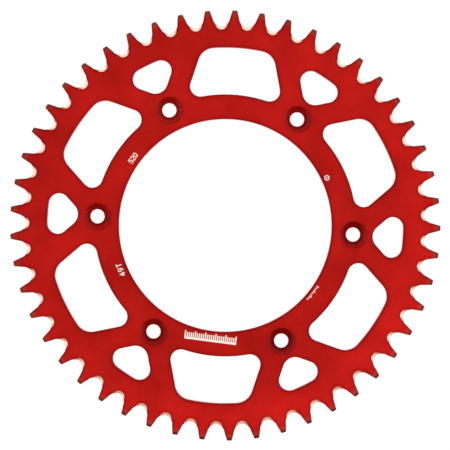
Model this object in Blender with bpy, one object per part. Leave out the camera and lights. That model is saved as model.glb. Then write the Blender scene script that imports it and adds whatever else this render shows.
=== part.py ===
"""Rear sprocket of a motocross bike: one plate of machined, anodised aluminium.

The plate lies flat. The origin is the centre of its hub-side face, +Z points to
the outer face, which has the countersinks and the mud reliefs, and +X runs
through a bolt hole. All sizes are in metres.
"""

import math

import bmesh
import bpy
from mathutils import Matrix, Vector

# Chain and teeth
TEETH = 49
CHAIN_PITCH = 0.015875
ROLLER_SEAT_RADIUS = 0.00513
TIP_RADIUS = 0.1283
TIP_HALF_WIDTH = 0.00141
FLANK_ANGLE = math.radians(15)
# The tooth nearest to the bolt hole on -X stands a little to one side of it.
TOOTH_PHASE = math.radians(-0.32)

# Plate
THICKNESS = 0.006
BORE_RADIUS = 0.0635
BORE_CHAMFER = 0.0004
TIP_CHAMFER_RADIAL = 0.0017
TIP_CHAMFER_AXIAL = 0.0011

# Bolt holes, countersunk at 90 degrees from the outer face
BOLTS = 6
BOLT_CIRCLE_RADIUS = 0.0765
BOLT_HOLE_RADIUS = 0.00425
COUNTERSINK_RADIUS = 0.0078

# Windows. Six large ones lie between the bolt holes and six small ones outside
# them. All reach out to one arc, and every spoke between them has straight
# sides, each given by its angle and its distance from the plate's centre.
WINDOW_OUTER_RADIUS = 0.1063
HUB_RING_RADIUS = 0.07805
LARGE_SIDE_ANGLE = math.radians(14.5)
LARGE_SIDE_DISTANCE = 0.04673
LARGE_OUTER_FILLET = 0.01
LARGE_INNER_FILLET = 0.0063
SMALL_SIDE_ANGLE = math.radians(44.5)
SMALL_SIDE_DISTANCE = 0.05946
SMALL_OUTER_FILLET = 0.00633
SMALL_INNER_FILLET = 0.0075

# Mud relief: a 100 degree cone sunk into the outer face at the foot of each gap
RELIEF_CENTRE_RADIUS = 0.1203
RELIEF_RADIUS = 0.0036
RELIEF_SLOPE = math.tan(math.radians(40))

# Facets: long arcs have finer steps than fillets, and the ring has a flat, not
# a corner, across each tooth tip
RING_STEPS = 2 * TEETH
HOLE_STEPS = 24
RELIEF_STEPS = 20
FILLET_STEP = math.radians(14)
RING_ARC_STEP = math.radians(3)

# Cutters reach this far past the faces and the tooth tips
CUT_PAST = 0.002
SHARP_ANGLE = math.radians(25)

PITCH_RADIUS = CHAIN_PITCH / 2 / math.sin(math.pi / TEETH)
TOOTH_ANGLE = 2 * math.pi / TEETH
BOLT_ANGLE = 2 * math.pi / BOLTS
TOP = math.pi / 2
CENTRE = Vector((0, 0))


def remove_all_objects():
    for obj in list(bpy.data.objects):
        bpy.data.objects.remove(obj)


# Outlines. Each is symmetric about the Y axis and runs counter-clockwise.

def arc(centre, radius, start, end, step):
    """Points along an arc, both ends included."""
    count = math.ceil(abs(end - start) / step)
    angles = [start + (end - start) * i / count for i in range(count + 1)]
    return [centre + radius * Vector((math.cos(a), math.sin(a))) for a in angles]


def mirrored(right_half):
    """Add the left half to a right half that starts at its foot."""
    off_axis = [p for p in right_half if p.x > 1e-7]
    return right_half + [Vector((-p.x, p.y)) for p in reversed(off_axis)]


def corner_fillet(side_normal, side_distance, ring_radius, fillet_radius, inside_ring):
    """The fillet between a window's straight side and a ring arc.

    The window lies below the line side_normal . p = side_distance. Returns the
    fillet's centre, and the angles at which it meets the side and the ring.
    """
    to_ring = -fillet_radius if inside_ring else fillet_radius
    across = side_distance - fillet_radius
    up = Vector((-side_normal.y, side_normal.x))
    up_side = math.sqrt((ring_radius + to_ring) ** 2 - across ** 2)
    centre = across * side_normal + up_side * up
    ring_direction = centre if inside_ring else -centre
    side_angle = math.atan2(side_normal.y, side_normal.x)
    return centre, side_angle, math.atan2(ring_direction.y, ring_direction.x)


def large_window():
    normal = Vector((math.cos(LARGE_SIDE_ANGLE), math.sin(LARGE_SIDE_ANGLE)))
    inner, side_angle, inner_angle = corner_fillet(
        normal, LARGE_SIDE_DISTANCE, HUB_RING_RADIUS, LARGE_INNER_FILLET, False)
    outer, side_angle, outer_angle = corner_fillet(
        normal, LARGE_SIDE_DISTANCE, WINDOW_OUTER_RADIUS, LARGE_OUTER_FILLET, True)
    inner_end = math.atan2(inner.y, inner.x)
    half = arc(CENTRE, HUB_RING_RADIUS, TOP, inner_end, RING_ARC_STEP)
    half += arc(inner, LARGE_INNER_FILLET, inner_angle, side_angle, FILLET_STEP)[1:]
    half += arc(outer, LARGE_OUTER_FILLET, side_angle, outer_angle, FILLET_STEP)
    half += arc(CENTRE, WINDOW_OUTER_RADIUS, outer_angle, TOP, RING_ARC_STEP)[1:]
    return mirrored(half)


def small_window():
    normal = Vector((math.cos(SMALL_SIDE_ANGLE), -math.sin(SMALL_SIDE_ANGLE)))
    outer, side_angle, outer_angle = corner_fillet(
        normal, -SMALL_SIDE_DISTANCE, WINDOW_OUTER_RADIUS, SMALL_OUTER_FILLET, True)
    inner_height = (SMALL_SIDE_DISTANCE + SMALL_INNER_FILLET) / math.sin(SMALL_SIDE_ANGLE)
    inner = Vector((0, inner_height))
    half = arc(inner, SMALL_INNER_FILLET, -TOP, side_angle, FILLET_STEP)
    half += arc(outer, SMALL_OUTER_FILLET, side_angle, outer_angle, FILLET_STEP)
    half += arc(CENTRE, WINDOW_OUTER_RADIUS, outer_angle, TOP, RING_ARC_STEP)[1:]
    return mirrored(half)


def tooth_gap():
    """A roller seat on the pitch circle, with a straight flank up to each tip."""
    seat = Vector((0, PITCH_RADIUS))
    tip_angle = TOOTH_ANGLE / 2 - TIP_HALF_WIDTH / TIP_RADIUS
    tip = TIP_RADIUS * Vector((math.sin(tip_angle), math.cos(tip_angle)))
    lean = TOOTH_ANGLE / 2 + FLANK_ANGLE
    down = Vector((-math.sin(lean), -math.cos(lean)))
    to_nearest = (seat - tip).dot(down)
    nearest = tip + to_nearest * down
    half_chord = math.sqrt(ROLLER_SEAT_RADIUS ** 2 - (nearest - seat).length_squared)
    foot = nearest - half_chord * down - seat
    half = arc(seat, ROLLER_SEAT_RADIUS, -TOP, math.atan2(foot.y, foot.x), FILLET_STEP)
    half.append(tip - CUT_PAST * down)
    return mirrored(half)


# Solids

def prism(outline):
    """An outline extruded through the plate and a little past both faces."""
    mesh = bmesh.new()
    corners = [mesh.verts.new((p.x, p.y, -CUT_PAST)) for p in reversed(outline)]
    foot = mesh.faces.new(corners)
    extruded = bmesh.ops.extrude_face_region(mesh, geom=[foot], use_keep_orig=True)
    top = [v for v in extruded["geom"] if isinstance(v, bmesh.types.BMVert)]
    bmesh.ops.translate(mesh, verts=top, vec=(0, 0, THICKNESS + 2 * CUT_PAST))
    return mesh


def turned(profile, centre_radius, steps):
    """A (radius, height) profile turned about an upright axis on +Y."""
    mesh = bmesh.new()
    half_step = Matrix.Rotation(math.pi / steps, 3, "Z")
    axis_foot = Vector((0, centre_radius, 0))
    verts = [mesh.verts.new(axis_foot + half_step @ Vector((0, radius, height)))
             for radius, height in profile]
    edges = [mesh.edges.new(pair) for pair in zip(verts, verts[1:])]
    bmesh.ops.spin(mesh, geom=verts + edges, cent=axis_foot, axis=(0, 0, 1),
                   angle=2 * math.pi, steps=steps)
    bmesh.ops.remove_doubles(mesh, verts=mesh.verts, dist=1e-6)
    return mesh


def turned_blank():
    """The ring before it is cut, with its bore and tip chamfers turned on."""
    corner_radius = TIP_RADIUS / math.cos(math.pi / RING_STEPS)
    outer = [(corner_radius - TIP_CHAMFER_RADIAL, THICKNESS),
             (corner_radius, THICKNESS - TIP_CHAMFER_AXIAL),
             (corner_radius, TIP_CHAMFER_AXIAL),
             (corner_radius - TIP_CHAMFER_RADIAL, 0)]
    bore = [(BORE_RADIUS + BORE_CHAMFER, 0),
            (BORE_RADIUS, BORE_CHAMFER),
            (BORE_RADIUS, THICKNESS - BORE_CHAMFER),
            (BORE_RADIUS + BORE_CHAMFER, THICKNESS)]
    corners = [(radius, 0, height) for radius, height in outer + bore]
    edges = [(i, (i + 1) % len(corners)) for i in range(len(corners))]
    profile = bpy.data.meshes.new("sprocket")
    profile.from_pydata(corners, edges, [])
    blank = bpy.data.objects.new("sprocket", profile)
    blank.rotation_euler.z = TOOTH_PHASE + math.pi / RING_STEPS
    bpy.context.scene.collection.objects.link(blank)
    turn = blank.modifiers.new("turn", "SCREW")
    turn.angle = 2 * math.pi
    turn.steps = RING_STEPS
    turn.render_steps = RING_STEPS
    turn.use_merge_vertices = True
    turn.merge_threshold = 1e-6
    return blank


def cut_around(blank, name, shape, count, first_angle):
    """Cut count copies of a shape, made on +Y, spaced evenly around the plate."""
    single = bpy.data.meshes.new(name)
    shape.to_mesh(single)
    shape.free()
    ring = bmesh.new()
    for i in range(count):
        before = len(ring.verts)
        ring.from_mesh(single)
        ring.verts.ensure_lookup_table()
        turn = first_angle - TOP + 2 * math.pi * i / count
        bmesh.ops.rotate(ring, verts=ring.verts[before:], cent=(0, 0, 0),
                         matrix=Matrix.Rotation(turn, 3, "Z"))
    bmesh.ops.recalc_face_normals(ring, faces=ring.faces)
    ring.to_mesh(single)
    ring.free()
    cutter = bpy.data.objects.new(name, single)
    cutter.hide_render = True
    cutter.display_type = "WIRE"
    bpy.context.scene.collection.objects.link(cutter)
    boolean = blank.modifiers.new(name, "BOOLEAN")
    boolean.operation = "DIFFERENCE"
    boolean.solver = "EXACT"
    boolean.object = cutter


def bolt_hole():
    sink_depth = COUNTERSINK_RADIUS - BOLT_HOLE_RADIUS
    profile = [(0, -CUT_PAST),
               (BOLT_HOLE_RADIUS, -CUT_PAST),
               (BOLT_HOLE_RADIUS, THICKNESS - sink_depth),
               (COUNTERSINK_RADIUS + CUT_PAST, THICKNESS + CUT_PAST),
               (0, THICKNESS + CUT_PAST)]
    return turned(profile, BOLT_CIRCLE_RADIUS, HOLE_STEPS)


def mud_relief():
    profile = [(0, THICKNESS - RELIEF_RADIUS * RELIEF_SLOPE),
               (RELIEF_RADIUS + CUT_PAST / RELIEF_SLOPE, THICKNESS + CUT_PAST),
               (0, THICKNESS + CUT_PAST)]
    return turned(profile, RELIEF_CENTRE_RADIUS, RELIEF_STEPS)


def anodised_red():
    material = bpy.data.materials.new("anodised_red")
    material.use_nodes = True
    shader = material.node_tree.nodes["Principled BSDF"]
    shader.inputs["Base Color"].default_value = (0.48, 0.011, 0.008, 1)
    shader.inputs["Metallic"].default_value = 0.9
    shader.inputs["Roughness"].default_value = 0.38
    return material


def apply_cuts(obj):
    """Keep the finished mesh, shaded smooth on its round walls, and drop the cutters."""
    depsgraph = bpy.context.evaluated_depsgraph_get()
    mesh = bpy.data.meshes.new_from_object(obj.evaluated_get(depsgraph))
    cutters = [m.object for m in obj.modifiers if m.type == "BOOLEAN"]
    obj.modifiers.clear()
    obj.data = mesh
    mesh.shade_smooth()
    mesh.set_sharp_from_angle(angle=SHARP_ANGLE)
    for cutter in cutters:
        bpy.data.objects.remove(cutter)


def build():
    remove_all_objects()
    sprocket = turned_blank()
    sprocket.data.materials.append(anodised_red())
    cut_around(sprocket, "tooth_gap_cutter", prism(tooth_gap()), TEETH, TOOTH_PHASE)
    cut_around(sprocket, "mud_relief_cutter", mud_relief(), TEETH, TOOTH_PHASE)
    cut_around(sprocket, "large_window_cutter", prism(large_window()), BOLTS, BOLT_ANGLE / 2)
    cut_around(sprocket, "small_window_cutter", prism(small_window()), BOLTS, 0)
    cut_around(sprocket, "bolt_hole_cutter", bolt_hole(), BOLTS, 0)
    apply_cuts(sprocket)


build()
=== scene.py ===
"""Looks of the rear sprocket: its fine mesh, its materials, its etched marks, light and camera."""

import math

import bpy
from mathutils import Matrix, Vector
from mathutils.geometry import delaunay_2d_cdt
from mathutils.kdtree import KDTree


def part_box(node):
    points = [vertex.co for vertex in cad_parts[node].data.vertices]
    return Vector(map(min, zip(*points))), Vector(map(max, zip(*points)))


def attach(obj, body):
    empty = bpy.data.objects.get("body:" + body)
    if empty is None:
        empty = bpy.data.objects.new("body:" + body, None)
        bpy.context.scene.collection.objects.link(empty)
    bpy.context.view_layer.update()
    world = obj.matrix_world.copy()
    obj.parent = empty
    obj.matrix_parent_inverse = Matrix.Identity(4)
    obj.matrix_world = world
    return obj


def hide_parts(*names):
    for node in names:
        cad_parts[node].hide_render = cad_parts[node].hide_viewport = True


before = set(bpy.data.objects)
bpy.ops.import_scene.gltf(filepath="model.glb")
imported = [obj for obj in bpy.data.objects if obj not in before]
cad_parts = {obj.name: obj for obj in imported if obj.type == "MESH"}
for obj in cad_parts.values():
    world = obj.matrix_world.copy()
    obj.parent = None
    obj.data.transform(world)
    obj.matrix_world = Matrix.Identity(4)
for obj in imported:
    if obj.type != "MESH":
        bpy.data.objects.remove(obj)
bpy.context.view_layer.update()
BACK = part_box("sprocket")[0].z
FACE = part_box("sprocket")[1].z

# The etched marks reach the CAD face, so the body's own face lies just under it.
ETCH_HEIGHT = 0.00002
BODY_FACE = FACE - ETCH_HEIGHT

# Teeth
TEETH = 49
CHAIN_PITCH = 0.015875
ROLLER_SEAT_RADIUS = 0.00513
TIP_RADIUS = 0.1283
TIP_HALF_WIDTH = 0.00141
TIP_ROUND = 0.0006
TIP_CHAMFER_RADIAL = 0.0017
TIP_CHAMFER_AXIAL = 0.0011
FLANK_ANGLE = math.radians(15)
TOOTH_PHASE = math.radians(-0.32)

# Mud relief cone at the foot of each gap
RELIEF_CENTRE_RADIUS = 0.1203
RELIEF_RADIUS = 0.0036
RELIEF_SLOPE = math.tan(math.radians(40))

# Bore, bolt holes and windows
BORE_RADIUS = 0.0635
BOLTS = 6
BOLT_CIRCLE_RADIUS = 0.0765
BOLT_HOLE_RADIUS = 0.00425
COUNTERSINK_RADIUS = 0.0078
WINDOW_OUTER_RADIUS = 0.1063
HUB_RING_RADIUS = 0.07805
LARGE_SIDE_ANGLE = math.radians(14.5)
LARGE_SIDE_DISTANCE = 0.04673
LARGE_OUTER_FILLET = 0.01
LARGE_INNER_FILLET = 0.0063
SMALL_SIDE_ANGLE = math.radians(44.5)
SMALL_SIDE_DISTANCE = 0.05946
SMALL_OUTER_FILLET = 0.00633
SMALL_INNER_FILLET = 0.0075

# Every edge is broken to this radius, in this many facets. Where faces turn by more
# than an angle, the shading is sharp.
EDGE_ROUND = 0.00045
EDGE_STEPS = 4
SHARP_ANGLE = math.radians(30)

# Spacing of the points inside the faces, and how clear of edges they stay
GRID = 0.0016
GRID_CLEARANCE = GRID / 3

# How far the painted edge shade reaches in from an edge, how closely edges are sampled for that,
# and how much further off the blunt edges of countersinks and reliefs count as being, so the
# painted shade is weaker there
EDGE_REACH = 0.003
EDGE_SPACING = 0.0004
SINK_EDGE_OFFSET = 0.0006
RELIEF_EDGE_OFFSET = 0.00025

# Rings of a countersink: on the cone, as shares of its width, which all count as this far from an
# edge for the painted edge shade, and at its rim, which is eased over a lip
CONE_SHARES = (0.04, 0.5, 0.96)
CONE_FROM_EDGE = 0.00125
LIP_DROP = 0.00006
LIP_WIDTH = 0.00015

PITCH_RADIUS = CHAIN_PITCH / 2 / math.sin(math.pi / TEETH)
GAP_ROOT_RADIUS = PITCH_RADIUS - ROLLER_SEAT_RADIUS
TOOTH_ANGLE = 2 * math.pi / TEETH
BOLT_ANGLE = 2 * math.pi / BOLTS
TOP = math.pi / 2
CENTRE = Vector((0, 0))
RELIEF_CENTRE = Vector((0, RELIEF_CENTRE_RADIUS))
MM_PER_M = 1000
M_PER_MM = 0.001

# The body's material slots
FLAT, WALL, TURNED, BARE = range(4)

# Steps along half a tooth gap: across the relief, up the seat, round the tip's
# corner and over the tip. One point between seat and corner is where the chamfer
# starts.
RELIEF_STEPS = 8
SEAT_STEPS = 8
TIP_ROUND_STEPS = 6
TIP_STEPS = 2
CHAMFER_INDEX = RELIEF_STEPS + SEAT_STEPS + 1

# Steps along half a window and along a relief's edge, and points round the bore and
# the bolt holes
LARGE_INNER_RING_STEPS = 10
LARGE_INNER_FILLET_STEPS = 12
LARGE_OUTER_FILLET_STEPS = 10
LARGE_OUTER_RING_STEPS = 8
SMALL_INNER_FILLET_STEPS = 6
SMALL_OUTER_FILLET_STEPS = 14
SMALL_OUTER_RING_STEPS = 4
RELIEF_ARC_STEPS = 18
BORE_POINTS = 360
HOLE_POINTS = 72


# Outlines in the plane. Gaps and windows are drawn about the +Y axis, and outlines
# run counter-clockwise. An inset moves an outline that far into the metal.

def polar(radius, angle):
    return Vector((radius * math.cos(angle), radius * math.sin(angle)))


def angle_of(vector):
    return math.atan2(vector.y, vector.x)


def arc(centre, radius, start, end, count):
    """Points along an arc in count steps, both ends included."""
    return [centre + polar(radius, start + (end - start) * i / count) for i in range(count + 1)]


def circle(centre, radius, count):
    return arc(centre, radius, 0, 2 * math.pi, count)[:-1]


def flipped(points):
    return [Vector((-p.x, p.y)) for p in points]


def closed_outline(right_half):
    """A whole outline from a right half that starts and ends on the Y axis."""
    return right_half + flipped(right_half[-2:0:-1])


def rotated(points, angle):
    turn = Matrix.Rotation(angle, 2)
    return [turn @ p for p in points]


def slide_to_radius(point, direction, radius):
    """Move a point along a direction until it is at a radius from the centre."""
    along = point.dot(direction)
    to_circle = math.sqrt(along ** 2 - point.length_squared + radius ** 2) - along
    return point + direction * to_circle


def gap_half(inset):
    """Right half of a tooth gap, from its root to the middle of the next tip."""
    lean = TOOTH_ANGLE / 2 + FLANK_ANGLE
    up = Vector((math.sin(lean), math.cos(lean)))
    into_tooth = Vector((up.y, -up.x))
    seat = Vector((0, PITCH_RADIUS))
    corner = polar(TIP_RADIUS, TOP - TOOTH_ANGLE / 2 + TIP_HALF_WIDTH / TIP_RADIUS)
    seat_radius = ROLLER_SEAT_RADIUS + inset

    # Where the relief circle crosses the seat circle
    apart = PITCH_RADIUS - RELIEF_CENTRE_RADIUS
    below = (seat_radius ** 2 - RELIEF_RADIUS ** 2 + apart ** 2) / (2 * apart)
    crossing = math.asin(-below / seat_radius)

    to_flank = (corner - seat).dot(into_tooth) + inset
    foot = seat + to_flank * into_tooth + math.sqrt(seat_radius ** 2 - to_flank ** 2) * up
    round_centre = slide_to_radius(corner + TIP_ROUND * into_tooth, up, TIP_RADIUS - TIP_ROUND)

    half = arc(seat, seat_radius, -TOP, crossing, RELIEF_STEPS)
    half += arc(seat, seat_radius, crossing, angle_of(foot - seat), SEAT_STEPS)[1:]
    half.append(slide_to_radius(foot, up, TIP_RADIUS - TIP_CHAMFER_RADIAL))
    half += arc(round_centre, TIP_ROUND - inset, angle_of(-into_tooth), angle_of(round_centre),
                TIP_ROUND_STEPS)
    half += arc(CENTRE, TIP_RADIUS - inset, angle_of(round_centre), TOP - TOOTH_ANGLE / 2,
                TIP_STEPS)[1:]
    return half


def corner_fillet(side_normal, side_distance, ring_radius, fillet_radius, inside_ring):
    """Centre of a window's corner fillet, and its angles at the side and the ring."""
    to_ring = -fillet_radius if inside_ring else fillet_radius
    across = side_distance - fillet_radius
    up = Vector((-side_normal.y, side_normal.x))
    up_side = math.sqrt((ring_radius + to_ring) ** 2 - across ** 2)
    centre = across * side_normal + up_side * up
    return centre, angle_of(side_normal), angle_of(centre if inside_ring else -centre)


def large_window(inset):
    """A four-cornered window: arcs of two rings, and two sides that lean outwards."""
    normal = polar(1, LARGE_SIDE_ANGLE)
    distance = LARGE_SIDE_DISTANCE + inset
    inner_ring = HUB_RING_RADIUS - inset
    outer_ring = WINDOW_OUTER_RADIUS + inset
    inner_fillet = LARGE_INNER_FILLET + inset
    outer_fillet = LARGE_OUTER_FILLET + inset
    inner, side, inner_end = corner_fillet(normal, distance, inner_ring, inner_fillet, False)
    outer, side, outer_end = corner_fillet(normal, distance, outer_ring, outer_fillet, True)
    half = arc(CENTRE, inner_ring, TOP, angle_of(inner), LARGE_INNER_RING_STEPS)
    half += arc(inner, inner_fillet, inner_end, side, LARGE_INNER_FILLET_STEPS)[1:]
    half += arc(outer, outer_fillet, side, outer_end, LARGE_OUTER_FILLET_STEPS)
    half += arc(CENTRE, outer_ring, outer_end, TOP, LARGE_OUTER_RING_STEPS)[1:]
    return closed_outline(half)


def small_window(inset):
    """A three-cornered window: an arc of the outer ring, and two sides down to a corner."""
    normal = polar(1, -SMALL_SIDE_ANGLE)
    distance = SMALL_SIDE_DISTANCE - inset
    outer_ring = WINDOW_OUTER_RADIUS + inset
    outer_fillet = SMALL_OUTER_FILLET + inset
    inner_fillet = SMALL_INNER_FILLET + inset
    outer, side, outer_end = corner_fillet(normal, -distance, outer_ring, outer_fillet, True)
    inner = Vector((0, (distance + inner_fillet) / math.sin(SMALL_SIDE_ANGLE)))
    half = arc(inner, inner_fillet, -TOP, side, SMALL_INNER_FILLET_STEPS)
    half += arc(outer, outer_fillet, side, outer_end, SMALL_OUTER_FILLET_STEPS)
    half += arc(CENTRE, outer_ring, outer_end, TOP, SMALL_OUTER_RING_STEPS)[1:]
    return closed_outline(half)


def hole_outlines(inset):
    """The bore and the windows."""
    outlines = [circle(CENTRE, BORE_RADIUS + inset, BORE_POINTS)]
    for i in range(BOLTS):
        turn = i * BOLT_ANGLE - TOP
        outlines.append(rotated(large_window(inset), turn + BOLT_ANGLE / 2))
        outlines.append(rotated(small_window(inset), turn))
    return outlines


def bolt_centres():
    return [polar(BOLT_CIRCLE_RADIUS, i * BOLT_ANGLE) for i in range(BOLTS)]


def relief_depth(point):
    """Depth of the relief cone under a point of the gap that lies on +Y."""
    inside_edge = RELIEF_RADIUS - (point - RELIEF_CENTRE).length
    return max(0.0, inside_edge) * RELIEF_SLOPE


def chamfer_depth(point):
    """Depth of the tip chamfer at a point."""
    past = point.length - (TIP_RADIUS - TIP_CHAMFER_RADIAL)
    return max(0.0, past) * TIP_CHAMFER_AXIAL / TIP_CHAMFER_RADIAL


def relief_arc():
    """The relief's edge on the face, from right to left, without its two ends."""
    start = angle_of(gap_half(EDGE_ROUND)[RELIEF_STEPS] - RELIEF_CENTRE)
    end = -math.pi - start
    return arc(RELIEF_CENTRE, RELIEF_RADIUS, start, end, RELIEF_ARC_STEPS)[1:-1]


def gap_turn(i):
    """Turn that carries the gap on +Y to gap i."""
    return TOOTH_PHASE - TOP + i * TOOTH_ANGLE


def to_gap(point):
    """Turn a point into the gap that lies on +Y."""
    turn = (angle_of(point) - TOOTH_PHASE + TOOTH_ANGLE / 2) % TOOTH_ANGLE - TOOTH_ANGLE / 2
    return polar(point.length, TOP + turn)


# The body's mesh

def edge_profile():
    """The round of a broken edge, from wall to face: insets, and drops below the face."""
    bends = [TOP * step / EDGE_STEPS for step in range(EDGE_STEPS + 1)]
    return [(EDGE_ROUND * (1 - math.cos(b)), EDGE_ROUND * (1 - math.sin(b))) for b in bends]


EDGE_PROFILE = edge_profile()


def edge_tree(outlines):
    """A search tree of points set closely along outlines, each closed by a straight line."""
    dense = []
    for outline in outlines:
        for start, end in zip(outline, outline[1:] + outline[:1]):
            steps = max(1, round((end - start).length / EDGE_SPACING))
            dense += [start.lerp(end, k / steps) for k in range(steps)]
    tree = KDTree(len(dense))
    for i, point in enumerate(dense):
        tree.insert(point.to_3d(), i)
    tree.balance()
    return tree


class EdgeDistance:
    """Distance from a point to the nearest edge of a face, up to the reach of the painted edge
    shade.

    The countersinks and reliefs are edges of the front face only.
    """

    def __init__(self):
        sinks = [circle(centre, COUNTERSINK_RADIUS, HOLE_POINTS) for centre in bolt_centres()]
        reliefs = [rotated(relief_arc(), gap_turn(i)) for i in range(TEETH)]
        self.square_edges = edge_tree([tooth_ring(0)[0]] + hole_outlines(0))
        self.sink_edges = edge_tree(sinks)
        self.relief_edges = edge_tree(reliefs)

    def __call__(self, point, front):
        nearest = self.square_edges.find(point.to_3d())[2]
        if front:
            sink = self.sink_edges.find(point.to_3d())[2] + SINK_EDGE_OFFSET
            relief = self.relief_edges.find(point.to_3d())[2] + RELIEF_EDGE_OFFSET
            nearest = min(nearest, sink, relief)
        return min(nearest, EDGE_REACH)


def add_object(name, data):
    obj = bpy.data.objects.new(name, data)
    bpy.context.scene.collection.objects.link(obj)
    return obj


class PlateMesh:
    """Vertices and faces of the sprocket.

    Each vertex knows its distance from an edge, and from the axis of the tool that
    cut it.
    """

    def __init__(self):
        self.verts = []
        self.from_edge = []
        self.from_axis = []
        self.faces = []
        self.slots = []

    def loop(self, points, heights, from_edge, axes=None):
        """Add points, each with the axis of its tool, and return their indices."""
        first = len(self.verts)
        self.verts += [(p.x, p.y, z) for p, z in zip(points, heights)]
        self.from_edge += [from_edge] * len(points)
        axes = axes or [CENTRE] * len(points)
        self.from_axis += [(p - axis).length for p, axis in zip(points, axes)]
        return list(range(first, len(self.verts)))

    def bridge(self, lower, upper, slot_of):
        """Quads from a loop up to another one that has the same number of points."""
        count = len(lower)
        for i in range(count):
            j = (i + 1) % count
            self.faces.append((lower[i], lower[j], upper[j], upper[i]))
            self.slots.append(slot_of(i))

    def make(self, name, materials):
        mesh = bpy.data.meshes.new(name)
        mesh.from_pydata(self.verts, [], self.faces)
        for material in materials:
            mesh.materials.append(material)
        mesh.polygons.foreach_set("material_index", self.slots)
        for label, values in (("from_edge", self.from_edge), ("from_axis", self.from_axis)):
            mesh.attributes.new(label, "FLOAT", "POINT").data.foreach_set("value", values)
        mesh.shade_smooth()
        mesh.set_sharp_from_angle(angle=SHARP_ANGLE)
        piece = add_object(name, mesh)
        flat_faces_lead = piece.modifiers.new("flat_faces_lead", "WEIGHTED_NORMAL")
        flat_faces_lead.keep_sharp = True
        flat_faces_lead.weight = 100
        return piece


def tooth_ring(inset):
    """The outer outline at an inset, with the depths of relief and chamfer there."""
    half = gap_half(inset)
    gap = half[:0:-1] + flipped(half[:-1])
    points, reliefs, chamfers = [], [], []
    for i in range(TEETH):
        points += rotated(gap, gap_turn(i))
        reliefs += [relief_depth(p) for p in gap]
        chamfers += [chamfer_depth(p) for p in gap]
    return points, reliefs, chamfers


POINTS_PER_GAP = 2 * (len(gap_half(0)) - 1)


def relief_axes():
    """For each point of the outer outline, the centre of its gap's relief."""
    centres = []
    for i in range(TEETH):
        centre = polar(RELIEF_CENTRE_RADIUS, TOOTH_PHASE + i * TOOTH_ANGLE)
        centres += [centre] * POINTS_PER_GAP
    return centres


def outer_slot(i, front):
    """Material of the broken edge at quad i of the outer outline."""
    from_root = abs(i % POINTS_PER_GAP + 0.5 - POINTS_PER_GAP // 2)
    if front and from_root < RELIEF_STEPS:
        return BARE
    return TURNED if from_root > CHAMFER_INDEX else FLAT


def add_side(plate, front, edge_distance):
    """One side of the plate with all its broken edges.

    Returns the loops at the walls: the outer one, then one for each hole.
    """
    sign = -1 if front else 1
    level = BODY_FACE if front else BACK

    def join(wall_side, face_side, slot_of=lambda i: FLAT):
        lower, upper = (wall_side, face_side) if front else (face_side, wall_side)
        plate.bridge(lower, upper, slot_of)

    outer_loops = []
    for inset, drop in EDGE_PROFILE:
        points, reliefs, chamfers = tooth_ring(inset)
        depths = [max(r, c) if front else c for r, c in zip(reliefs, chamfers)]
        heights = [level + sign * (drop + d) for d in depths]
        outer_loops.append(plate.loop(points, heights, inset, relief_axes()))
    for wall_side, face_side in zip(outer_loops, outer_loops[1:]):
        join(wall_side, face_side, lambda i: outer_slot(i, front))

    hole_loops = [[] for _ in hole_outlines(0)]
    for inset, drop in EDGE_PROFILE:
        for loops, outline in zip(hole_loops, hole_outlines(inset)):
            loops.append(plate.loop(outline, [level + sign * drop] * len(outline), inset))
    for loops in hole_loops:
        for wall_side, face_side in zip(loops, loops[1:]):
            join(face_side, wall_side)

    for centre in bolt_centres():
        loops = bolt_hole_loops(plate, centre, level, front)
        for wall_side, face_side in zip(loops, loops[1:]):
            join(face_side, wall_side, lambda i: TURNED)
        hole_loops.append(loops)

    inmost_loops = [loops[-1] for loops in [outer_loops] + hole_loops]
    SideFill(plate, inmost_loops, front, edge_distance).fill()
    return outer_loops[0], [loops[0] for loops in hole_loops]


def bolt_hole_loops(plate, centre, level, front):
    """Rings round a bolt hole, from its wall to the face, with the countersink in front."""
    axes = [centre] * HOLE_POINTS
    rings = [(BOLT_HOLE_RADIUS + inset, -drop, inset) for inset, drop in EDGE_PROFILE]
    if front:
        sink = COUNTERSINK_RADIUS - BOLT_HOLE_RADIUS
        rings = [(BOLT_HOLE_RADIUS, sink, 0.0)]
        rings += [(BOLT_HOLE_RADIUS + sink * share, sink * (1 - share), CONE_FROM_EDGE)
                  for share in CONE_SHARES]
        rings.append((COUNTERSINK_RADIUS, LIP_DROP, SINK_EDGE_OFFSET))
        rings.append((COUNTERSINK_RADIUS + LIP_WIDTH, 0.0, SINK_EDGE_OFFSET + LIP_WIDTH))
    return [plate.loop(circle(centre, radius, HOLE_POINTS), [level - depth] * HOLE_POINTS,
                       from_edge, axes)
            for radius, depth, from_edge in rings]


def index_runs(outlines):
    """The indices of each outline's points, with all the points in one list."""
    runs, start = [], 0
    for outline in outlines:
        runs.append(list(range(start, start + len(outline))))
        start += len(outline)
    return runs


def triangulate(points, edges, outlines):
    """Triangles over the whole hull of points in millimetres, split along edges and outlines.

    Returns the points, the triangles, the given points that each point comes from,
    and the outlines that each triangle lies in.
    """
    whole_hull, tolerance, with_origins = 0, 1e-4, True
    points, _, triangles, origins, _, owners = delaunay_2d_cdt(
        points, edges, outlines, whole_hull, tolerance, with_origins)
    return points, triangles, origins, owners


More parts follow.
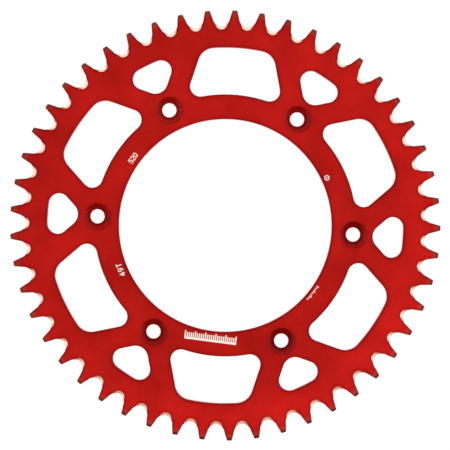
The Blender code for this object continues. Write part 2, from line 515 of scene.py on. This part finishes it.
class SideFill:
    """Triangulates the flat of one side between its outer loop and its holes."""

    def __init__(self, plate, loops, front, edge_distance):
        self.plate = plate
        self.front = front
        self.edge_distance = edge_distance
        self.vertex_of = [vertex for loop in loops for vertex in loop]
        self.flat = [Vector(plate.verts[vertex][:2]) for vertex in self.vertex_of]
        self.outlines = index_runs(loops)
        self.edges = []

    def add_points(self, points):
        """Add points inside the face, sunk where they lie in a relief."""
        first = len(self.flat)
        level = BODY_FACE if self.front else BACK
        for point in points:
            gap_point = to_gap(point)
            height = level - relief_depth(gap_point) if self.front else level
            axis = polar(RELIEF_CENTRE_RADIUS, angle_of(point) - angle_of(gap_point) + TOP)
            from_edge = self.edge_distance(point, self.front)
            self.vertex_of += self.plate.loop([point], [height], from_edge, [axis])
        self.flat += points
        return list(range(first, len(self.flat)))

    def add_tooth_edges(self, i):
        """The foot of tooth i's chamfer and, in front, the edge of gap i's relief."""
        root = i * POINTS_PER_GAP + POINTS_PER_GAP // 2
        next_root = (i + 1) % TEETH * POINTS_PER_GAP + POINTS_PER_GAP // 2
        self.edges.append((root + CHAMFER_INDEX, next_root - CHAMFER_INDEX))
        if self.front:
            relief = self.add_points(rotated(relief_arc(), gap_turn(i)))
            chain = [root - RELIEF_STEPS] + relief + [root + RELIEF_STEPS]
            self.edges += list(zip(chain, chain[1:]))

    def slot_at(self, point):
        if self.front and relief_depth(to_gap(point)) > 0:
            return BARE
        return TURNED if chamfer_depth(point) > 0 else FLAT

    def fill(self):
        for i in range(TEETH):
            self.add_tooth_edges(i)
        self.add_points(grid_points(self.front, self.edge_distance))

        scaled = [point * MM_PER_M for point in self.flat]
        points, triangles, origins, owners = triangulate(scaled, self.edges, self.outlines)
        assert len(points) == len(self.flat)
        for triangle, owner in zip(triangles, owners):
            if owner != [0]:  # in a hole, or outside
                continue
            corners = [origins[vertex][0] for vertex in triangle]
            middle = sum((self.flat[corner] for corner in corners), Vector((0, 0))) / 3
            ordered = corners if self.front else corners[::-1]
            self.plate.faces.append(tuple(self.vertex_of[corner] for corner in ordered))
            self.plate.slots.append(self.slot_at(middle))


def grid_points(front, edge_distance):
    """A triangular grid over the flat of the face, clear of every edge."""
    kept = []
    row_height = GRID * math.sqrt(3) / 2
    outermost = TIP_RADIUS - TIP_CHAMFER_RADIAL - GRID / 2
    rows = int(TIP_RADIUS / row_height) + 1
    for row in range(-rows, rows + 1):
        for column in range(-rows, rows + 1):
            point = Vector(((column + (row % 2) / 2) * GRID, row * row_height))
            if not BORE_RADIUS < point.length < outermost:
                continue
            if not in_metal(point):
                continue
            if edge_distance(point, False) < EDGE_ROUND + GRID_CLEARANCE:
                continue
            to_relief = (to_gap(point) - RELIEF_CENTRE).length - RELIEF_RADIUS
            if front and abs(to_relief) < GRID_CLEARANCE:
                continue
            kept.append(point)
    return kept


def inside(outline, point):
    """True if an outline goes round a point."""
    crossings = 0
    for start, end in zip(outline, outline[1:] + outline[:1]):
        if (start.y > point.y) != (end.y > point.y):
            across = start.x + (point.y - start.y) / (end.y - start.y) * (end.x - start.x)
            crossings += across > point.x
    return crossings % 2 == 1


GAP_OUTLINE = closed_outline(gap_half(0))
LARGE_OUTLINE = large_window(0)
SMALL_OUTLINE = small_window(0)


def in_metal(point):
    """True if a point between bore and tips is in no gap, window or countersink."""
    if point.length > GAP_ROOT_RADIUS and inside(GAP_OUTLINE, to_gap(point)):
        return False
    turn = (angle_of(point) + BOLT_ANGLE / 2) % BOLT_ANGLE - BOLT_ANGLE / 2
    from_bolt = (polar(point.length, turn) - Vector((BOLT_CIRCLE_RADIUS, 0))).length
    if from_bolt < COUNTERSINK_RADIUS + GRID_CLEARANCE:
        return False
    if inside(SMALL_OUTLINE, polar(point.length, turn + TOP)):
        return False
    half_turn = angle_of(point) % BOLT_ANGLE - BOLT_ANGLE / 2
    return not inside(LARGE_OUTLINE, polar(point.length, half_turn + TOP))


def make_sprocket(materials):
    plate = PlateMesh()
    edge_distance = EdgeDistance()
    back_outer, back_holes = add_side(plate, False, edge_distance)
    front_outer, front_holes = add_side(plate, True, edge_distance)
    plate.bridge(back_outer, front_outer, lambda i: WALL)
    for back, face in zip(back_holes, front_holes):
        plate.bridge(face, back, lambda i: WALL)
    return plate.make("sprocket_body", materials)


# Marks etched through the anodising. Their outlines are unions of plain
# polygons, drawn in millimetres with x running clockwise and y outwards.

STROKE = 0.55
STROKE_END_POINTS = 12
GLYPH_MIDDLE_X = 0.3
GLYPH_MIDDLE_Y = 0.5


def bow(x, y, width, height, start, end, count=12):
    """Points along an elliptical arc, with its angles in degrees."""
    turn = [math.radians(start + (end - start) * i / count) for i in range(count + 1)]
    return [(x + width / 2 * math.cos(t), y + height / 2 * math.sin(t)) for t in turn]


# Single strokes on a cell 0.6 wide and 1 high
GLYPHS = {
    "0": [bow(0.3, 0.5, 0.6, 1, 0, 360, 20)],
    "2": [bow(0.3, 0.71, 0.56, 0.58, 165, -35) + [(0.02, 0), (0.6, 0)]],
    "4": [[(0.44, 0), (0.44, 1), (0, 0.32), (0.64, 0.32)]],
    "5": [[(0.56, 1), (0.12, 1), (0.08, 0.56)] + bow(0.28, 0.33, 0.6, 0.66, 115, -140)],
    "9": [bow(0.3, 0.69, 0.58, 0.62, 0, 360, 18),
          [(0.59, 0.69), (0.57, 0.42), (0.42, 0.15), (0.16, 0)]],
    "T": [[(0, 1), (0.6, 1)], [(0.3, 1), (0.3, 0)]],
}


def stroke(points, width=STROKE):
    """Polygons that cover a line drawn with a round pen."""
    points = [Vector(p) for p in points]
    shapes = [circle(p, width / 2, STROKE_END_POINTS) for p in points]
    for start, end in zip(points, points[1:]):
        side = (end - start).orthogonal().normalized() * width / 2
        shapes.append([start + side, start - side, end - side, end + side])
    return shapes


def bar(x, y, width, height):
    """An upright rectangle about x that stands on y."""
    left, right, top = x - width / 2, x + width / 2, y + height
    return [Vector(corner) for corner in ((left, y), (right, y), (right, top), (left, top))]


def row(count, pitch):
    """Places along x, about the middle."""
    return [(i - (count - 1) / 2) * pitch for i in range(count)]


def character_shapes(character, height):
    shapes = []
    for line in GLYPHS[character]:
        shapes += stroke([((x - GLYPH_MIDDLE_X) * height, (y - GLYPH_MIDDLE_Y) * height)
                          for x, y in line])
    return shapes


def number(text, height, advance):
    """Groups of shapes, one for each character."""
    places = row(len(text), advance)
    return [(along, character_shapes(c, height)) for along, c in zip(places, text)]


def tooth_count_mark():
    """The number of teeth."""
    return number("49T", height=2.9, advance=2.85)


def chain_size_mark():
    """The size of chain that the teeth fit."""
    return number("520", height=2.8, advance=2.3)


def centre_mark():
    """A ring with a dot in it."""
    ring = stroke(bow(0, 0, width=2.7, height=2.7, start=0, end=360, count=28), width=0.5)
    dot = circle(CENTRE, radius=0.42, count=14)
    return [(0, ring + [dot])]


def dash_mark():
    """Nine upright dashes, every third one taller."""
    groups = []
    for i, along in enumerate(row(count=9, pitch=1.2)):
        height = 1.5 if i % 3 == 0 else 0.9
        groups.append((along, [bar(0, -0.7, width=0.6, height=height)]))
    return groups


def scale_mark():
    """A graduated scale: a long bar with ticks on its inner side, every fifth one longer."""
    bar_foot, tick_top = 1.1, 1.3
    shapes = [bar(0, bar_foot, width=31, height=1.2)]
    for i, along in enumerate(row(count=26, pitch=1.215)):
        length = 4.0 if i % 5 == 0 else 3.0
        shapes.append(bar(along, tick_top - length, width=0.7, height=length))
    return [(0, shapes)]


# Each mark's name, its groups of shapes, and the radius and the angle in degrees at
# which it is set. A group is a place along x with the shapes that stand there.
MARKS = [
    ("chain_size_mark", chain_size_mark(), 0.068, 148.0),
    ("tooth_count_mark", tooth_count_mark(), 0.0677, 207.1),
    ("scale_mark", scale_mark(), 0.0675, 266.6),
    ("dash_mark", dash_mark(), 0.066, 326.3),
    ("centre_mark", centre_mark(), 0.0668, 29.2),
]


def placed_shapes(groups, radius, angle):
    """A mark's shapes in place on the part. Each group stands square to its own radius."""
    placed = []
    for along, shapes in groups:
        outward = polar(1, math.radians(angle) - along * M_PER_MM / radius)
        clockwise = Vector((outward.y, -outward.x))
        origin = radius * MM_PER_M * outward
        for shape in shapes:
            placed.append([origin + p.x * clockwise + p.y * outward for p in shape])
    return placed


def make_mark(name, groups, radius, angle, material):
    """A thin closed solid of the union of all the mark's shapes, set in the face."""
    shapes = placed_shapes(groups, radius, angle)
    corners = [p for shape in shapes for p in shape]
    points, triangles, _, owners = triangulate(corners, [], index_runs(shapes))
    covered = [tuple(triangle) for triangle, owner in zip(triangles, owners) if owner]

    used = sorted({vertex for triangle in covered for vertex in triangle})
    lower = {vertex: i for i, vertex in enumerate(used)}
    upper = {vertex: i + len(used) for i, vertex in enumerate(used)}
    levels = (FACE - 2 * ETCH_HEIGHT, FACE)
    verts = [(points[vertex].x / MM_PER_M, points[vertex].y / MM_PER_M, z)
             for z in levels for vertex in used]

    edges = {(t[i], t[(i + 1) % 3]) for t in covered for i in range(3)}
    rim = [(a, b) for a, b in edges if (b, a) not in edges]
    faces = [tuple(upper[vertex] for vertex in t) for t in covered]
    faces += [tuple(lower[vertex] for vertex in reversed(t)) for t in covered]
    faces += [(lower[a], lower[b], upper[b], upper[a]) for a, b in rim]

    mesh = bpy.data.meshes.new(name)
    mesh.from_pydata(verts, [], faces)
    mesh.materials.append(material)
    return add_object(name, mesh)


# Materials

# The direction on the part that the camera has as up, and the side to which the hub ring is
# painted lighter, as painted light falling from that side
PHOTO_UP = math.radians(94.1)
PAINTED_LIGHT_SIDE = PHOTO_UP + math.radians(27)

# Colours of dyes and metals, and their tints at grazing angles
DYE = (0.483, 0.011, 0.0085)
WALL_DYE = (0.52, 0.012, 0.01)
SINK_DYE = (0.483, 0.024, 0.02)
WORN_DYE = (0.385, 0.069, 0.045)
ALUMINIUM = (1.0, 0.81, 0.66)
STAINED_ALUMINIUM = (1.0, 0.66, 0.54)
ETCHED_ALUMINIUM = (1.0, 0.84, 0.76)
GRAZING_TINT = (1.0, 0.4, 0.35)
WALL_TINT = (1.0, 0.4, 0.42)

# Painted shade at edges: how much darker the colour is painted at an edge, and the length over
# which that fades
PAINTED_EDGE_SHADE = 0.6
EDGE_FADE = 0.00095
PAINTED_RELIEF_EDGE_SHADE = 0.2
RELIEF_EDGE_FADE = 0.0003

# Painted shade: the colour's tone goes from deeper on the hub ring to paler at the rim
DEEP_RADIUS = 0.068
PALE_RADIUS = 0.115
DEEP_TONE = 0.95
PALE_TONE = 1.075

# Painted light: the hub ring's tone is also lighter towards one side, by this share for each metre
# across the part. Between two radii the painted light dies away.
PAINTED_LIGHT_LEAN = 1.6
PAINTED_LIGHT_RADIUS = 0.095
NO_PAINTED_LIGHT_RADIUS = 0.113

# How far down from the tips the dye is worn, and where a relief's stain starts
TIP_WEAR_LENGTH = 0.0045
STAIN_INNER_RADIUS = 0.0022

# The range that most of a noise's values lie in
NOISE_LOW = 0.3
NOISE_HIGH = 0.7

# Rings that tools leave: their pitches, unevenness in radians, and depth
SINK_RING_PITCH = 0.00032
RELIEF_RING_PITCH = 0.00028
RING_UNEVENNESS = 2.5
RING_DEPTH = 0.000008

# Depths of the other textures, and how strong the rolling lines are in the grain
GRAIN_DEPTH = 0.000012
ROLLING_LINES = 0.6
MILLED_DEPTH = 0.00002
ETCHED_DEPTH = 0.00001

# Sockets of a Mix node that mixes colours
MIX_FACTOR, MIX_FIRST, MIX_SECOND = 0, 6, 7
MIX_RESULT = 2


def add_node(tree, kind, inputs=None, **settings):
    """A new node, with its settings, and its inputs set or linked."""
    node = tree.nodes.new("ShaderNode" + kind)
    for name, value in settings.items():
        setattr(node, name, value)
    for name, value in (inputs or {}).items():
        if isinstance(value, bpy.types.NodeSocket):
            tree.links.new(value, node.inputs[name])
        else:
            node.inputs[name].default_value = value
    return node


def calculate(tree, operation, *values):
    return add_node(tree, "Math", dict(enumerate(values)), operation=operation).outputs[0]


def rescale(tree, value, low, high, new_low, new_high):
    """Carry a value from one range to another, and hold it at the ends."""
    inputs = {"Value": value, "From Min": low, "From Max": high,
              "To Min": new_low, "To Max": new_high}
    return add_node(tree, "MapRange", inputs).outputs["Result"]


def place_on_part(tree):
    """A point's place in its object's own metres."""
    return add_node(tree, "TexCoord").outputs["Object"]


def noise(tree, size, detail=2.0, stretch=(1, 1, 1)):
    """Noise with features of about a size in metres, drawn out along an axis where asked."""
    place = place_on_part(tree)
    scaled = add_node(tree, "Mapping", {"Vector": place, "Scale": [1 / s for s in stretch]})
    inputs = {"Vector": scaled.outputs["Vector"], "Scale": 1 / size, "Detail": detail}
    return add_node(tree, "TexNoise", inputs).outputs["Fac"]


def spread(tree, grain, low, high):
    """Carry a noise to a range of values."""
    return rescale(tree, grain, NOISE_LOW, NOISE_HIGH, low, high)


def attribute(tree, name):
    return add_node(tree, "Attribute", attribute_name=name).outputs["Fac"]


def tool_rings(tree, pitch):
    """Waves from -1 to 1 round the axis of the tool, a little uneven."""
    radius = attribute(tree, "from_axis")
    uneven = calculate(tree, "MULTIPLY", noise(tree, size=0.004), RING_UNEVENNESS)
    phase = calculate(tree, "MULTIPLY_ADD", radius, 2 * math.pi / pitch, uneven)
    return calculate(tree, "SINE", phase)


def from_centre(tree):
    """Distance from the sprocket's axis."""
    flat = add_node(tree, "VectorMath", {0: place_on_part(tree), 1: (1, 1, 0)},
                    operation="MULTIPLY")
    return add_node(tree, "VectorMath", {0: flat.outputs[0]}, operation="LENGTH").outputs["Value"]


def distance_along(tree, place, angle, strength=1.0):
    """How far a place lies towards an angle in the plane, times a strength."""
    towards = (*polar(strength, angle), 0)
    node = add_node(tree, "VectorMath", {0: place, 1: towards}, operation="DOT_PRODUCT")
    return node.outputs["Value"]


def mix(tree, factor, first, second):
    """Mix two colours, each a socket or a plain colour."""
    values = [(*c, 1) if isinstance(c, tuple) else c for c in (first, second)]
    node = add_node(tree, "Mix", data_type="RGBA")
    for index, value in zip((MIX_FACTOR, MIX_FIRST, MIX_SECOND), (factor, *values)):
        if isinstance(value, bpy.types.NodeSocket):
            tree.links.new(value, node.inputs[index])
        else:
            node.inputs[index].default_value = value
    return node.outputs[MIX_RESULT]


def shade(tree, colour, amount):
    """A colour multiplied by a number."""
    scale = add_node(tree, "VectorMath", {0: colour, "Scale": amount}, operation="SCALE")
    return scale.outputs[0]


def new_material(name, metallic):
    material = bpy.data.materials.new(name)
    material.use_nodes = True
    shader = material.node_tree.nodes["Principled BSDF"]
    shader.inputs["Metallic"].default_value = metallic
    return material, material.node_tree, shader


def finish_material(tree, shader, colour, roughness, height, depth):
    """Link colour, roughness and a bump of a depth in metres."""
    bump = add_node(tree, "Bump", {"Height": height, "Distance": depth, "Strength": 1.0})
    tree.links.new(colour, shader.inputs["Base Color"])
    tree.links.new(roughness, shader.inputs["Roughness"])
    tree.links.new(bump.outputs["Normal"], shader.inputs["Normal"])


def cloudy(tree):
    """A tone about 1 that drifts over centimetres, with fine specks."""
    cloud = spread(tree, noise(tree, size=0.020, detail=3.0), 0.86, 1.14)
    speck = spread(tree, noise(tree, size=0.0016, detail=2.0), 0.96, 1.04)
    return calculate(tree, "MULTIPLY", cloud, speck)


def painted_edge_shade(tree, shade_at_edge, fade_length):
    """Painted shade: a tone of 1 well inside a face, less by the painted shade at an edge."""
    fade = calculate(tree, "MULTIPLY", attribute(tree, "from_edge"), -1 / fade_length)
    return calculate(tree, "MULTIPLY_ADD", calculate(tree, "EXPONENT", fade), -shade_at_edge, 1.0)


def painted_light_and_shade(tree, radius):
    """Painted light and shade: a tone that is deeper on the hub ring, and lighter there on one
    side, as painted light from that side.
    """
    deeper = rescale(tree, radius, DEEP_RADIUS, PALE_RADIUS, DEEP_TONE, PALE_TONE)
    on_hub = rescale(tree, radius, PAINTED_LIGHT_RADIUS, NO_PAINTED_LIGHT_RADIUS, 1, 0)
    across = distance_along(tree, place_on_part(tree), PAINTED_LIGHT_SIDE, PAINTED_LIGHT_LEAN)
    painted_light = calculate(tree, "MULTIPLY_ADD", across, on_hub, 1.0)
    return calculate(tree, "MULTIPLY", deeper, painted_light)


def dye_with_painted_light(tree, dye):
    """The red dye, cloudy and worn at the tips, with painted shade deeper on the hub ring and
    darker towards edges, and painted light to one side of the hub ring.
    """
    radius = from_centre(tree)
    # Painted light and painted shade on the hub ring
    tone = calculate(tree, "MULTIPLY", cloudy(tree), painted_light_and_shade(tree, radius))
    # Painted shade, darker towards every edge
    tone = calculate(tree, "MULTIPLY", tone, painted_edge_shade(tree, PAINTED_EDGE_SHADE, EDGE_FADE))
    worn = rescale(tree, radius, TIP_RADIUS - TIP_WEAR_LENGTH, TIP_RADIUS, 0, 1)
    return shade(tree, mix(tree, worn, dye, WORN_DYE), tone)


def anodised_face():
    """Flat faces: satin, with the fine grain of etched and sealed plate."""
    material, tree, shader = new_material("anodised_red_face", metallic=1.0)
    grain = noise(tree, size=0.00035, detail=3.0)
    rolled = noise(tree, size=0.0006, stretch=(1, 12, 1))
    height = calculate(tree, "MULTIPLY_ADD", rolled, ROLLING_LINES, grain)
    roughness = spread(tree, noise(tree, size=0.012, detail=4.0), 0.33, 0.42)
    shader.inputs["Specular Tint"].default_value = (*GRAZING_TINT, 1)
    # The colour carries painted shade towards edges and on the hub ring, and painted light to one
    # side
    finish_material(tree, shader, dye_with_painted_light(tree, DYE), roughness, height, GRAIN_DEPTH)
    return material


def anodised_wall():
    """Milled walls: fine marks that run straight through the plate."""
    material, tree, shader = new_material("anodised_red_wall", metallic=1.0)
    milled = noise(tree, size=0.0003, detail=3.0, stretch=(1, 1, 60))
    roughness = spread(tree, milled, 0.26, 0.4)
    colour = shade(tree, WALL_DYE, cloudy(tree))
    shader.inputs["Specular Tint"].default_value = (*WALL_TINT, 1)
    finish_material(tree, shader, colour, roughness, milled, MILLED_DEPTH)
    return material


def anodised_turned():
    """Countersinks and tip chamfers: rings left by the tool."""
    material, tree, shader = new_material("anodised_red_turned", metallic=1.0)
    rings = tool_rings(tree, SINK_RING_PITCH)
    roughness = rescale(tree, rings, -1, 1, 0.3, 0.38)
    shader.inputs["Specular Tint"].default_value = (*GRAZING_TINT, 1)
    # The colour carries painted shade towards edges and on the hub ring, and painted light to one
    # side
    finish_material(tree, shader, dye_with_painted_light(tree, SINK_DYE), roughness, rings, RING_DEPTH)
    return material


def bare_aluminium():
    """Reliefs cut after anodising: bare metal with the arcs of the cutter, stained at its rim, and
    with painted shade along its edges.
    """
    material, tree, shader = new_material("bare_aluminium_cut", metallic=1.0)
    rings = tool_rings(tree, RELIEF_RING_PITCH)
    stain = rescale(tree, attribute(tree, "from_axis"), STAIN_INNER_RADIUS, RELIEF_RADIUS, 0, 1)
    tone = spread(tree, noise(tree, size=0.0015, detail=3.0), 0.93, 1.05)
    # Painted shade along the relief's edges
    painted_shade = painted_edge_shade(tree, PAINTED_RELIEF_EDGE_SHADE, RELIEF_EDGE_FADE)
    tone = calculate(tree, "MULTIPLY", tone, painted_shade)
    colour = shade(tree, mix(tree, stain, ALUMINIUM, STAINED_ALUMINIUM), tone)
    roughness = spread(tree, noise(tree, size=0.0008), 0.25, 0.36)
    finish_material(tree, shader, colour, roughness, rings, RING_DEPTH)
    return material


def etched_aluminium():
    """Marks burnt through the dye: matt pale metal with the laser's fine lines."""
    material, tree, shader = new_material("etched_aluminium", metallic=1.0)
    lines = noise(tree, size=0.0001, stretch=(1, 6, 1))
    tone = spread(tree, noise(tree, size=0.0007, detail=3.0), 0.93, 1.05)
    colour = shade(tree, ETCHED_ALUMINIUM, tone)
    roughness = spread(tree, lines, 0.32, 0.42)
    finish_material(tree, shader, colour, roughness, lines, ETCHED_DEPTH)
    return material


body = make_sprocket([anodised_face(), anodised_wall(), anodised_turned(), bare_aluminium()])
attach(body, "root")
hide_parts("sprocket")

etch = etched_aluminium()
for name, groups, radius, angle in MARKS:
    mark = make_mark(name, groups, radius, angle, etch)
    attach(mark, "root")


# Stage: a white light table, soft light from above, and a dark band low all round
# with a bright horizon under it

FLOOR_HALF_WIDTH = 8
FLOOR_GAP = 0.0001
FLOOR_GREY = 0.2
FLOOR_GLOW = 0.92

# Brightness of the light by height, from 0 at the horizon to 1 overhead
LIGHT_BY_HEIGHT = [(0.0, 1.7), (0.18, 1.75), (0.28, 0.15), (0.42, 0.2),
                   (0.6, 0.4), (0.82, 0.9), (1.0, 1.0)]
LIGHT_STRENGTH = 1.12

# Between these heights the light comes to lean to its bright side
OVERHEAD_LOW = 0.6
OVERHEAD_HIGH = 0.8
OVERHEAD_LEAN = 1.75
BRIGHT_SIDE = PHOTO_UP - math.radians(138)

# Low down on one side it turns brown, over this range of the cosine of the angle
# between the light and that side
BROWN_LIGHT = (0.45, 0.17, 0.06)
BROWN_SIDE = PHOTO_UP + math.pi
BROWN_LOW = 0.3
BROWN_HIGH = 0.8

# The camera's height above the face, its place right of and above the middle of the
# part, and the width that it sees there
CAMERA_DISTANCE = 1.1
CAMERA_RIGHT = -0.00016
CAMERA_UP = 0.00026
VIEW_WIDTH = 0.2679
SENSOR = 36.0


def make_floor():
    material, _, shader = new_material("pale_floor", metallic=0.0)
    shader.inputs["Base Color"].default_value = (FLOOR_GREY, FLOOR_GREY, FLOOR_GREY, 1)
    shader.inputs["Roughness"].default_value = 0.9
    shader.inputs["Specular IOR Level"].default_value = 0.0
    shader.inputs["Emission Color"].default_value = (1, 1, 1, 1)
    shader.inputs["Emission Strength"].default_value = FLOOR_GLOW
    mesh = bpy.data.meshes.new("floor")
    far = FLOOR_HALF_WIDTH
    corners = [(-far, -far, 0), (far, -far, 0), (far, far, 0), (-far, far, 0)]
    mesh.from_pydata(corners, [], [(0, 1, 2, 3)])
    mesh.materials.append(material)
    floor = add_object("floor", mesh)
    floor.location.z = BACK - FLOOR_GAP


def light_by_height(tree, height):
    """Brightness by height above the horizon."""
    ramp = add_node(tree, "ValToRGB", {0: height})
    elements = ramp.color_ramp.elements
    for i, (position, value) in enumerate(LIGHT_BY_HEIGHT):
        element = elements[i] if i < 2 else elements.new(position)
        element.position = position
        element.color = (value, value, value, 1)
    return ramp.outputs[0]


def make_world():
    """Light by height, leaning to one side overhead, and brown on one side low down."""
    world = bpy.data.worlds.new("studio")
    world.use_nodes = True
    tree = world.node_tree
    direction = add_node(tree, "TexCoord").outputs["Generated"]
    height = add_node(tree, "SeparateXYZ", {0: direction}).outputs["Z"]

    overhead = rescale(tree, height, OVERHEAD_LOW, OVERHEAD_HIGH, 0, OVERHEAD_LEAN)
    to_bright_side = distance_along(tree, direction, BRIGHT_SIDE)
    lean = calculate(tree, "MULTIPLY_ADD", to_bright_side, overhead, 1.0)
    light = shade(tree, light_by_height(tree, height), lean)

    to_brown_side = distance_along(tree, direction, BROWN_SIDE)
    brown_share = rescale(tree, to_brown_side, BROWN_LOW, BROWN_HIGH, 0, 1)
    colour = mix(tree, brown_share, light, BROWN_LIGHT)

    background = tree.nodes["Background"]
    tree.links.new(colour, background.inputs["Color"])
    background.inputs["Strength"].default_value = LIGHT_STRENGTH
    bpy.context.scene.world = world


def make_camera():
    """A camera that looks straight down on the part, the photo's way up."""
    up = polar(1, PHOTO_UP)
    right = Vector((up.y, -up.x))
    middle = CAMERA_RIGHT * right + CAMERA_UP * up
    data = bpy.data.cameras.new("camera")
    data.sensor_width = SENSOR
    data.lens = SENSOR * CAMERA_DISTANCE / VIEW_WIDTH
    camera = add_object("camera", data)
    turn = Matrix((right.to_3d(), up.to_3d(), (0, 0, 1))).transposed()
    place = Matrix.Translation((middle.x, middle.y, FACE + CAMERA_DISTANCE))
    camera.matrix_world = place @ turn.to_4x4()
    bpy.context.scene.camera = camera


make_floor()
make_world()
make_camera()
bpy.context.scene.view_settings.view_transform = "Standard"
